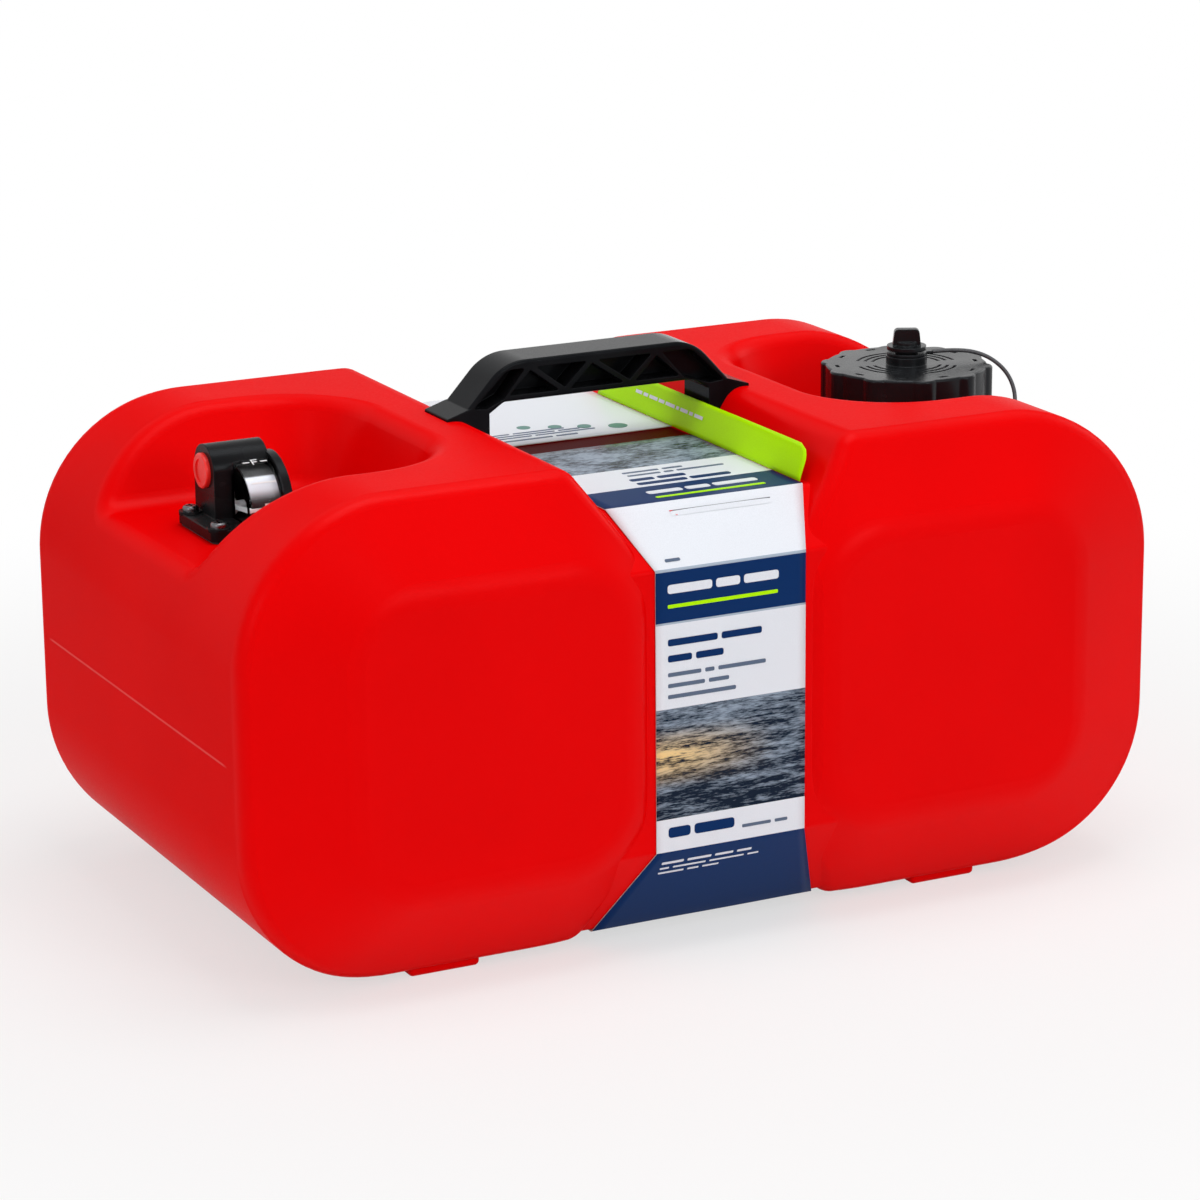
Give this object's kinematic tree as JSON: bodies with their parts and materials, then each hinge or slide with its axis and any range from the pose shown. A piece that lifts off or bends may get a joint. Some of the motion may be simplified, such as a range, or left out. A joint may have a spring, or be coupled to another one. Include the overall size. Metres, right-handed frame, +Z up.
{
  "type": "outboard fuel tank",
  "caption": "Low portable fuel tank with a lobe at each end, waist wrap, top carry handle, vented screw cap on a tether, and a float gauge with fuel outlet.",
  "frame": {"origin": "On the floor, under the middle of the tank.", "axes": "X along the tank's length with the filler cap at +X and the gauge at -X, Y from the front face to the back, Z up."},
  "size_m": [0.5, 0.31, 0.271],
  "materials": {
    "tank_red": "satin",
    "black_plastic": "satin",
    "seal_rubber": "matte",
    "tether_grey": "satin",
    "clear_lens": "clear",
    "dial_black": "satin",
    "needle_white": "satin",
    "steel": "brushed",
    "float_black": "matte",
    "tube_plastic": "satin",
    "filter_white": "satin",
    "plug_red": "satin",
    "screw_steel": "bright",
    "insert_brass": "satin",
    "cardboard": "satin print",
    "cardboard_green": "satin print"
  },
  "bodies": {
    "tank": {"tank_shell": "tank_red", "tether_neck_ring": "black_plastic", "tether_strap": "tether_grey", "carry_handle": "black_plastic", "gauge_housing": "black_plastic", "gauge_gasket": "seal_rubber", "gauge_lens": "clear_lens", "dial_scale": "dial_black", "float_bracket": "steel", "float_pivot_pin": "steel", "pickup_tube": "tube_plastic", "pickup_filter": "filter_white", "flange_screws": "screw_steel", "threaded_inserts": "insert_brass", "label_sleeve": "cardboard", "sleeve_flap": "cardboard_green"},
    "cap_carrier": {"cap_gasket": "seal_rubber", "tether_cap_ring": "black_plastic"},
    "cap": {"filler_cap": "black_plastic"},
    "vent_carrier": {"vent_seal": "seal_rubber"},
    "vent": {"vent_knob": "black_plastic"},
    "float_lever": {"float_arm": "steel", "gauge_float": "float_black", "float_clips": "steel"},
    "rod": {"push_rod": "steel"},
    "needle": {"gauge_needle": "needle_white", "needle_axle": "steel"},
    "plug": {"outlet_plug": "plug_red", "outlet_seal": "seal_rubber"}
  },
  "joints": [
    {"name": "cap_rise", "type": "slide", "parent": "tank", "child": "cap_carrier", "axis": [0, 0, 1], "range_m": [0, 0.0096], "deforming": ["tether_strap"]},
    {"name": "cap_turn", "type": "hinge", "parent": "cap_carrier", "child": "cap", "pos_m": [0.187, 0, 0.225], "axis": [0, 0, 1], "range_deg": [0, 540]},
    {"name": "vent_rise", "type": "slide", "parent": "cap", "child": "vent_carrier", "axis": [0, 0, 1], "range_m": [0, 0.0016]},
    {"name": "vent_turn", "type": "hinge", "parent": "vent_carrier", "child": "vent", "pos_m": [0.187, 0, 0.25], "axis": [0, 0, 1], "range_deg": [0, 270]},
    {"name": "float_swing", "type": "hinge", "parent": "tank", "child": "float_lever", "pos_m": [-0.189, 0.002, 0.1151], "axis": [-1, 0, 0], "range_deg": [0, 76]},
    {"name": "rod_swing", "type": "hinge", "parent": "float_lever", "child": "rod", "pos_m": [-0.1914, 0.00804, 0.12035], "axis": [-1, 0, 0], "range_deg": [-76, 0]},
    {"name": "needle_turn", "type": "hinge", "parent": "tank", "child": "needle", "pos_m": [-0.185, 0.002, 0.2111], "axis": [-1, 0, 0], "range_deg": [0, 76]},
    {"name": "plug_pull", "type": "slide", "parent": "tank", "child": "plug", "axis": [-1, 0, 0], "range_m": [0, 0.03]}
  ],
  "couplings": [
    {"joint": "cap_rise", "follows": "cap_turn", "m_per_rad": 0.0010106},
    {"joint": "vent_rise", "follows": "vent_turn", "m_per_rad": 0.00031831},
    {"joint": "rod_swing", "follows": "float_swing", "ratio": -1},
    {"joint": "needle_turn", "follows": "float_swing", "ratio": 1}
  ]
}
